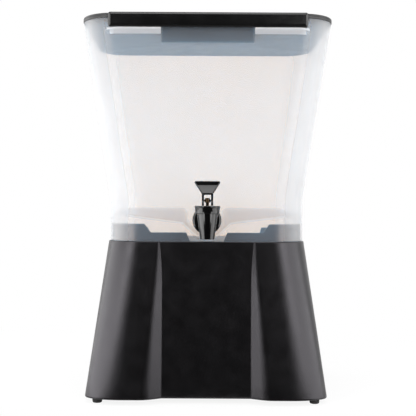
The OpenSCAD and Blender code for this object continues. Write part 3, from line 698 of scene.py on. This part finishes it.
# Tap
def make_tap_body():
    """Barrel that tapers to its nozzle, and a flange with the shank behind it."""
    tap = Shape()
    barrel = [(BORE_R, NOZZLE_H + 0.5), (BORE_R + 0.4, NOZZLE_H), (10.0, NOZZLE_H), (10.4, NOZZLE_H + 0.3),
              (10.5, NOZZLE_H + 0.7), (BARREL_R, SHOULDER_H - 4.0), (BARREL_R, SHOULDER_H - 0.4),
              (BARREL_R - 0.2, SHOULDER_H - 0.1), (BARREL_R - 0.5, SHOULDER_H), (NECK_R, SHOULDER_H),
              (NECK_R, NECK_H), (CHAMBER_R, NECK_H), (CHAMBER_R, SEAT_H), (BORE_R, SEAT_H)]
    tap.lathe(barrel, (0, TAP_Y, Z_TAP), n=96)
    wall = -WAIST[1] / 2 - TAP_Y
    seal, end = wall - 2.5, wall + 18.7
    flange = [(BORE_R, 9.6), (SHANK_R, 9.6), (SHANK_R, wall - 7.6), (SHANK_R + 0.8, wall - 7.05),
              (FLANGE_R - 3.2, wall - 6.95), (FLANGE_R - 2.6, wall - 6.8), (FLANGE_R - 0.9, wall - 5.7),
              (FLANGE_R - 0.3, wall - 5.0), (FLANGE_R, wall - 4.2), (FLANGE_R, wall - 3.0),
              (FLANGE_R - 0.4, seal), (SHANK_R, seal), (SHANK_R, end), (BORE_R, end)]
    tap.lathe(flange, (0, TAP_Y, Z_TAP), axis="y", n=96)
    obj = tap.object("tap_barrel")
    round_off(obj, 32)
    finish_piece(obj, GLOSS, "tank", "tap_body")


def make_bonnet():
    """Collar over the neck, with a rim at its top and a hole for the stem."""
    bonnet = Shape()
    top_r, fit_r, stem_r = 19.0, NECK_R + 0.2, 2.31
    profile = [(fit_r, SHOULDER_H), (17.5, SHOULDER_H), (17.8, SHOULDER_H + 0.3), (18.4, BONNET_H - 3.4),
               (18.6, BONNET_H - 2.9), (top_r - 0.15, BONNET_H - 2.5), (top_r, BONNET_H - 2.0),
               (top_r, BONNET_H - 1.0), (top_r - 0.2, BONNET_H - 0.4), (top_r - 0.8, BONNET_H),
               (stem_r, BONNET_H), (stem_r, SPRING_H), (CHAMBER_R, SPRING_H), (CHAMBER_R, NECK_H),
               (fit_r, NECK_H)]
    bonnet.lathe(profile, (0, TAP_Y, Z_TAP), n=96)
    obj = bonnet.object("bonnet_ring")
    round_off(obj, 40)
    finish_piece(obj, GLOSS, "tank", "tap_bonnet")


def leg_outline():
    """Side view of a yoke leg from its pin: a heel whose lift grows evenly with the tilt, and a stalk."""
    rise, past = VALVE_LIFT / math.radians(TILT), 3.0
    curve = []
    for i in range(13):
        a = math.radians(TILT + past) * i / 12
        p = HEEL + rise * a
        curve.append((-p * math.sin(a) - rise * math.cos(a), rise * math.sin(a) - p * math.cos(a)))
    heel_back = 4.5
    front = [(-8.4, -2.6), (-6.4, 0.0), (-5.4, 4.0), (-4.6, BRIDGE_Z), (-3.4, STALK_Z)]
    back = [(3.4, STALK_Z), (3.7, 8.0), (4.3, 3.0), (heel_back, 0.0)]
    return [(heel_back, -HEEL)] + curve + front + back


def yoke_legs():
    """Both legs, with slightly rounded edges."""
    inner, edge = 5.1, 0.35
    leg = leg_outline()
    cy = sum(p[0] for p in leg) / len(leg)
    cz = sum(p[1] for p in leg) / len(leg)
    legs = Shape()
    for side in (1, -1):
        rings = []
        for x, inset in ((inner, edge), (inner + edge, 0.0), (YOKE_HALF - edge, 0.0), (YOKE_HALF, edge)):
            ring = []
            for y, z in leg:
                away = Vector((y - cy, z - cz))
                away -= away.normalized() * inset
                ring.append((side * x, TAP_Y + cy + away.x, Z_PIN + cz + away.y))
            rings.append(ring)
        legs.skin(rings, "flat")
    return legs


def paddle():
    """Paddle that widens upwards, with an upright foot, a middle that leans back and a rounded top."""
    shape = Shape()
    rings = []
    corner, flare_from, flare_run = 2.6, 9.5, 17.0
    low_t, top_t = 6.5, 4.5
    z_corner = PADDLE_H - corner
    levels = [lerp(BRIDGE_Z, z_corner, i / 14) for i in range(15)]
    levels += [z_corner + corner * math.sin(math.radians(k)) for k in (15, 30, 45, 60, 75, 85)]
    for z in levels:
        leant = rounded_fall(max(z - LEAN_FROM, 0) / (PADDLE_H - LEAN_FROM), LEAN_BEND)
        centre = LEAN * (1 - leant) - 1
        thick = lerp(low_t, top_t, (z - BRIDGE_Z) / (PADDLE_H - BRIDGE_Z))
        half = lerp(YOKE_HALF, PADDLE_HALF, min(max((z - flare_from) / flare_run, 0), 1))
        if z > z_corner:
            s = (z - z_corner) / corner
            c = 1 - math.sqrt(max(1 - s * s, 0))
            half -= corner * c
            thick -= 1.5 * c
        ring = outline(2 * half, thick, thick * 0.46, 8)
        rings.append([(x, TAP_Y + centre + y, Z_PIN + z) for x, y in ring])
    shape.skin(rings)
    return shape


def make_handle():
    """Paddle on its yoke, with the pin's holes."""
    obj = yoke_legs().object("handle_paddle")
    for side in (1, -1):
        hole = Shape()
        hole.skin([[(side * x, TAP_Y + y, Z_PIN + z) for y, z in circle(PIN_HOLE_R, 32)] for x in (4.2, 9.2)])
        cut(obj, hole.object("pin_hole"))
    cut(obj, paddle().object("paddle"), "UNION")
    round_off(obj, 32)
    finish_piece(obj, GLOSS, "handle", "tap_handle")


def make_spring():
    """Coil of round wire, drawn at one length from its foot up to the bonnet; the real spring shortens
    towards the bonnet as the valve rises.
    """
    coil_r, wire_r, coils = 5.2, 0.55, 6
    steps, sides = 32, 10
    foot, top, gap = Z_TAP + 2.6, Z_TAP + SPRING_H, 0.1
    low, high = foot + gap + wire_r, top - gap - wire_r
    rise = (high - low) / (2 * math.pi * coils)
    rings = []
    for i in range(coils * steps + 1):
        a = 2 * math.pi * i / steps
        out = Vector((math.cos(a), math.sin(a), 0))
        way = Vector((-coil_r * math.sin(a), coil_r * math.cos(a), rise)).normalized()
        up = out.cross(way)
        middle = Vector((0, TAP_Y, lerp(low, high, i / (coils * steps)))) + coil_r * out
        rings.append([tuple(middle + u * out + v * up) for u, v in circle(wire_r, sides)])
    coil = Shape()
    coil.skin(rings, "flat")
    obj = coil.object("spring_coil")
    round_off(obj, 60)
    finish_piece(obj, STEEL, "tank", "return_spring")
    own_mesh(obj)


def make_feet():
    """Tapered rubber feet, each with a recess for its screw."""
    profile = [(4.1, 0.3), (4.4, 0.0), (5.9, 0.0), (6.5, 0.25), (7.0, 0.9), (7.3, 2.0),
               (7.9, 7.4), (7.8, 7.9), (7.5, 8.0), (2.2, 8.0), (2.2, 3.0), (4.1, 3.0)]
    for sx, x_name in ((-1, "left"), (1, "right")):
        for sy, y_name in ((-1, "front"), (1, "rear")):
            foot = Shape()
            foot.lathe(profile, (sx * FOOT_X, sy * FOOT_Y, 0), n=48)
            obj = foot.object(f"rubber_foot_{y_name}_{x_name}")
            round_off(obj, 40)
            finish_piece(obj, FOOT, "base", f"foot_{y_name}_{x_name}")


make_base()
make_tank()
make_lid()
make_bar()
make_tap_body()
make_bonnet()
make_handle()
make_spring()
make_feet()
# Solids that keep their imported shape
CARRIED = {
    "foot_screws": STEEL,
    "grip_screws": STEEL,
    "outer_gasket": GASKET,
    "inner_gasket": GASKET,
    "tap_nut": GLOSS,
    "tap_stem": BROWN,
    "handle_pin": DARK,
    "seat_cup": SILICONE,
    "spring_washer": STEEL,
}
for node, material in CARRIED.items():
    paint(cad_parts[node], material)


# Stage, light and camera
def make_stage():
    """Pale floor that keeps the object's shadow and fades to white away from it."""
    floor = Shape()
    wide, near, far = 1300, -150, 1300
    floor.add([(-wide, near, 0), (wide, near, 0), (wide, far, 0), (-wide, far, 0)], [(0, 1, 2, 3)])
    obj = floor.object("floor")
    white_share, fade = 0.88, (0.35, 0.8)
    m = new_material("floor")
    paper = m.node("ShaderNodeBsdfDiffuse")
    m.link(m.blend(m.noise(2, 2), (0.90, 0.90, 0.90), (0.92, 0.92, 0.92)), paper.inputs["Color"])
    glow = m.node("ShaderNodeEmission", Strength=1.0)
    reach = m.node("ShaderNodeVectorMath", operation="LENGTH")
    m.link(m.coord, reach.inputs[0])
    seen = m.node("ShaderNodeLightPath").outputs["Is Camera Ray"]
    share = m.maths("MULTIPLY", seen, m.spread(reach.outputs["Value"], white_share, 1.0, *fade))
    obj.data.materials.append(m.done(m.mix(share, paper.outputs["BSDF"], glow.outputs["Emission"])))


def make_world():
    """White to the camera and to reflections of what is behind, a bright rear and a dark room in front."""
    m = Nodes(bpy.data.worlds.new("studio"), "ShaderNodeOutputWorld", "Generated")
    split = m.node("ShaderNodeSeparateXYZ")
    m.link(m.coord, split.inputs[0])
    room = m.spread(split.outputs["Y"], 0.02, 0.8, -0.5, 0.4, "SMOOTHSTEP")
    behind = m.spread(split.outputs["Y"], 0.0, 1.0, 0.2, 0.6, "SMOOTHSTEP")
    ray = m.node("ShaderNodeLightPath").outputs
    shiny = m.maths("MAXIMUM", ray["Is Glossy Ray"], ray["Is Transmission Ray"])
    white = m.maths("MAXIMUM", ray["Is Camera Ray"], m.maths("MULTIPLY", shiny, behind))
    pick = m.node("ShaderNodeMix", B=1.0)
    m.link(white, pick.inputs["Factor"])
    m.link(room, pick.inputs["A"])
    back = m.node("ShaderNodeBackground", Color=(1, 1, 1, 1))
    m.link(pick.outputs["Result"], back.inputs["Strength"])
    bpy.context.scene.world = m.done(back.outputs["Background"])


def area_light(name, place, aim, size, radiance):
    """A softbox with a given radiance, aimed at a place."""
    data = bpy.data.lights.new(name, "AREA")
    data.shape, data.size, data.size_y = "RECTANGLE", size[0], size[1]
    data.energy = radiance * math.pi * size[0] * size[1]
    obj = bpy.data.objects.new(name, data)
    bpy.context.scene.collection.objects.link(obj)
    obj.location = place
    obj.rotation_euler = (Vector(aim) - Vector(place)).to_track_quat("-Z", "Y").to_euler()


def side_panel(name, start, stop, low, high, radiance):
    """An upright softbox between two places on the ground and two heights, which faces the object."""
    mid = [(a + b) / 2 for a, b in zip(start, stop)]
    run = (stop[0] - start[0], stop[1] - start[1])
    size = math.hypot(*run)
    across = (run[1] / size, -run[0] / size)
    turn = -1 if across[0] * mid[0] + across[1] * mid[1] > 0 else 1
    z = (low + high) / 2
    aim = (mid[0] + turn * across[0], mid[1] + turn * across[1], z)
    area_light(name, (*mid, z), aim, (size, high - low), radiance)


def make_camera():
    """Camera at the photo's height and distance, with its slight roll, and shifted to its framing."""
    data = bpy.data.cameras.new("camera")
    data.sensor_width, data.lens = 36.0, 74.4
    data.shift_x, data.shift_y = 0.0375, -0.0024
    data.clip_end = 50
    obj = bpy.data.objects.new("camera", data)
    bpy.context.scene.collection.objects.link(obj)
    obj.location = (-0.022, -1.406, 0.2972)
    obj.rotation_euler = (math.radians(90), math.radians(-0.3), 0)
    bpy.context.scene.camera = obj


make_stage()
make_world()
# Softboxes with their places in metres, where the panels beside the object are split in height
TALL, SPLIT, LOW_END = 1.5, 0.3, -0.35
for name, side, low, high in (("left", -1, 4.4, 2.2), ("right", 1, 3.0, 2.5)):
    start, stop = (side * 1.04, -1.03), (side * 1.28, 0.1)
    side_panel(name + "_front", (side * 0.744, -1.30), (side * 1.02, -1.05), 0.0, TALL, 5.6)
    side_panel(name, start, stop, SPLIT, TALL, high)
    side_panel(name + "_low", start, stop, LOW_END, SPLIT, low)
side_panel("left_rear", (-1.28, 0.1), (-1.28, 0.80), 0.0, TALL, 2.2)
area_light("top", (0, -0.75, 2.0), (0, -0.4, 0.3), (1.1, 1.7), 3.3)
make_camera()
bpy.context.scene.view_settings.view_transform = "Standard"
